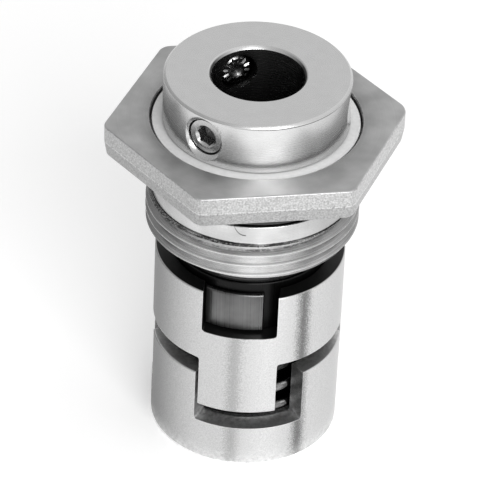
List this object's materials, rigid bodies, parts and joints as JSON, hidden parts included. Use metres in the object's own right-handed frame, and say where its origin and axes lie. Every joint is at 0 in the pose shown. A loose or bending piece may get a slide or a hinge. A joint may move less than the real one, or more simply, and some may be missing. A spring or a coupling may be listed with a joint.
{
  "type": "cartridge mechanical seal",
  "caption": "Cartridge shaft seal: set-screw collar on a sleeve, hexagonal threaded carrier with a fixed seat, and a sprung rotating ring driven by a slotted sleeve and a notched cup.",
  "frame": {"origin": "on the axis, in the plane of the spring cup's bottom edge", "axes": "+Z along the axis towards the collar, -Y towards the front, where the first drive slot is"},
  "size_m": [0.039, 0.0374, 0.0548],
  "materials": {
    "turned_steel": "fine turned, satin",
    "cast_steel": "cast flats with turned faces",
    "blasted_steel": "fine blasted",
    "ring_steel": "dark ground",
    "spring_steel": "drawn, bright",
    "screw_steel": "bright",
    "hard_face": "lapped dark carbide",
    "rubber": "matte",
    "white_plastic": "matte"
  },
  "bodies": {
    "shaft_unit": {"shaft_sleeve": "turned_steel", "spring_cup": "blasted_steel", "retaining_ring": "spring_steel", "shaft_oring": "rubber", "coil_spring": "spring_steel"},
    "seal_head": {"rotating_ring": "ring_steel", "rotating_face": "hard_face", "head_oring": "rubber", "backing_washer": "turned_steel", "drive_sleeve": "blasted_steel", "spring_washer": "turned_steel"},
    "carrier_unit": {"seal_carrier": "cast_steel", "carrier_gasket": "rubber", "bearing_ring": "white_plastic", "seat_ring": "turned_steel", "seat_face": "hard_face", "seat_oring": "rubber", "seat_pins": "screw_steel"},
    "screw_front": {"set_screw_front": "screw_steel"},
    "screw_right": {"set_screw_right": "screw_steel"},
    "screw_rear": {"set_screw_rear": "screw_steel"}
  },
  "joints": [
    {"name": "face_slide", "type": "slide", "parent": "shaft_unit", "child": "seal_head", "axis": [0, 0, 1], "range_m": [-0.0026, 0], "stiffness_N_per_m": 4300, "springref_m": 0.007, "deforming": ["coil_spring"]},
    {"name": "seat_spin", "type": "hinge", "parent": "seal_head", "child": "carrier_unit", "pos_m": [0, 0, 0.03], "axis": [0, 0, 1], "continuous": true},
    {"name": "screw_front_slide", "type": "slide", "parent": "shaft_unit", "child": "screw_front", "axis": [-0.5519, -0.8339, 0], "range_m": [-0.00035, 0.005]},
    {"name": "screw_right_slide", "type": "slide", "parent": "shaft_unit", "child": "screw_right", "axis": [0.9981, -0.061, 0], "range_m": [-0.00035, 0.005]},
    {"name": "screw_rear_slide", "type": "slide", "parent": "shaft_unit", "child": "screw_rear", "axis": [-0.4462, 0.8949, 0], "range_m": [-0.00035, 0.005]}
  ]
}
